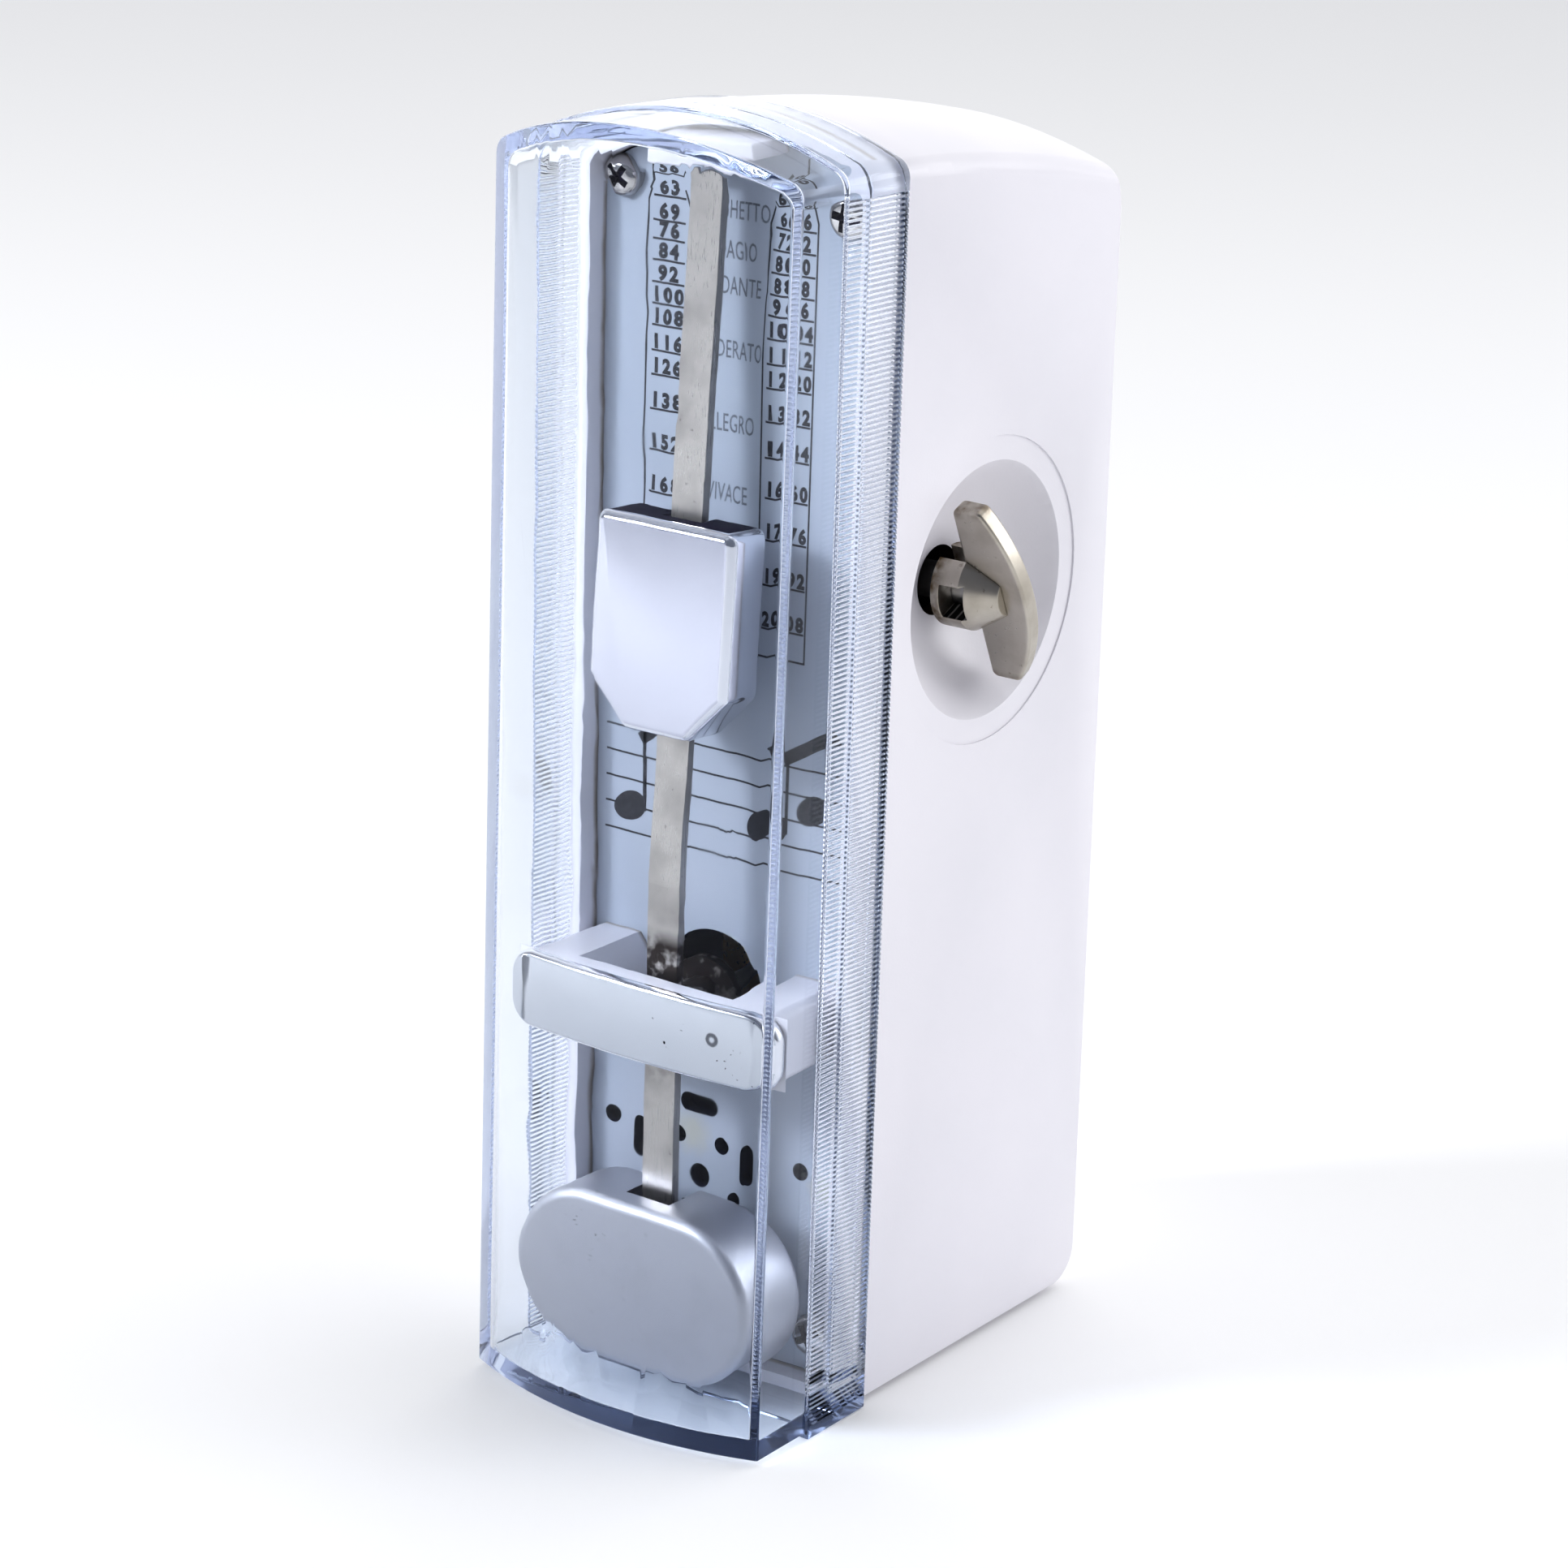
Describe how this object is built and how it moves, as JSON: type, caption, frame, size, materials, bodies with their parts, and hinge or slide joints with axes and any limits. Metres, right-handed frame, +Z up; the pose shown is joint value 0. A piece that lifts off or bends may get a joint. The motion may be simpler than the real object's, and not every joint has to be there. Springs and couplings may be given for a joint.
{
  "type": "pocket metronome",
  "caption": "Small wind-up metronome: white case with a side key, dial, pendulum with a sliding weight, and a clear pull-off front cover.",
  "frame": {"origin": "on the surface that the feet stand on, midway across the case, in the plane halfway between the cover's front corners and the case's rear wall", "axes": "+Z up, the dial and pendulum face -Y, +X is the object's right side seen from the front, where the key is"},
  "size_m": [0.0334, 0.0493, 0.1059],
  "materials": {
    "case_plastic": "smooth off-white moulded plastic",
    "dial_plastic": "smooth pale grey moulded plastic",
    "clear_plastic": "clear glossy plastic with a faint blue tint",
    "foot_rubber": "soft dark rubber",
    "screw_chrome": "polished plated steel",
    "trim_metal": "satin face with polished edges",
    "rod_steel": "brushed nickel-plated steel",
    "weight_metal": "fine satin plated metal",
    "slider_metal": "satin plated metal with bright bevels",
    "plate_steel": "plain plated steel",
    "spring_steel": "blued spring steel",
    "brass": "plain turned brass",
    "key_nickel": "worn nickel plating"
  },
  "bodies": {
    "case": {"case_shell": "case_plastic", "rubber_feet": "foot_rubber", "dial_plate": "dial_plastic", "dial_screws": "screw_chrome", "rod_catch": "dial_plastic", "bearing_bridge": "dial_plastic", "bridge_trim": "trim_metal", "front_bearing": "brass", "rear_cock": "plate_steel", "rear_bearing": "brass", "left_side_plate": "plate_steel", "right_side_plate": "plate_steel", "pillars": "plate_steel", "pillar_screws": "plate_steel", "escape_bush": "brass", "click_stud": "plate_steel"},
    "cover": {"clear_cover": "clear_plastic"},
    "pendulum": {"pendulum_rod": "rod_steel", "pendulum_arbor": "plate_steel", "pendulum_hub": "rod_steel", "low_weight": "weight_metal", "pallets": "plate_steel"},
    "tempo_weight": {"sliding_weight": "slider_metal", "weight_spring": "spring_steel"},
    "key": {"key_wing": "key_nickel", "key_hub": "key_nickel", "winding_arbor": "plate_steel", "ratchet_wheel": "plate_steel"},
    "barrel": {"great_wheel": "brass", "spring_barrel": "brass", "barrel_lid": "brass", "mainspring": "spring_steel"},
    "middle": {"middle_pinion": "plate_steel", "middle_wheel": "brass", "middle_arbor": "plate_steel"},
    "escape": {"escape_pinion": "plate_steel", "escape_arbor": "plate_steel", "crown_wheel": "brass"},
    "click": {"click": "plate_steel"}
  },
  "joints": [
    {"name": "cover_pull", "type": "slide", "parent": "case", "child": "cover", "axis": [0, -1, 0], "range_m": [0, 0.045]},
    {"name": "pendulum_swing", "type": "hinge", "parent": "case", "child": "pendulum", "pos_m": [0, -0.0174, 0.0337], "axis": [0, 1, 0], "range_deg": [-3.5, 3.5]},
    {"name": "tempo_slide", "type": "slide", "parent": "pendulum", "child": "tempo_weight", "axis": [0, 0.0618, 0.9981], "range_m": [-0.0095, 0.0235]},
    {"name": "key_turn", "type": "hinge", "parent": "case", "child": "key", "pos_m": [0.0132, 0.0049, 0.0667], "axis": [1, 0, 0], "continuous": true},
    {"name": "barrel_turn", "type": "hinge", "parent": "case", "child": "barrel", "pos_m": [-0.0044, 0.0049, 0.0667], "axis": [1, 0, 0], "continuous": true},
    {"name": "middle_turn", "type": "hinge", "parent": "case", "child": "middle", "pos_m": [-0.0074, 0.0049, 0.0497], "axis": [1, 0, 0], "continuous": true},
    {"name": "escape_turn", "type": "hinge", "parent": "case", "child": "escape", "pos_m": [-0.0054, 0.0049, 0.0337], "axis": [1, 0, 0], "continuous": true},
    {"name": "click_lift", "type": "hinge", "parent": "case", "child": "click", "pos_m": [0.0035, 0.0095, 0.0611], "axis": [-1, 0, 0], "range_deg": [0, 15], "stiffness_Nm_per_rad": 0.0005}
  ],
  "couplings": [
    {"joint": "middle_turn", "follows": "barrel_turn", "ratio": -2.7778},
    {"joint": "escape_turn", "follows": "barrel_turn", "ratio": 9.9206}
  ]
}
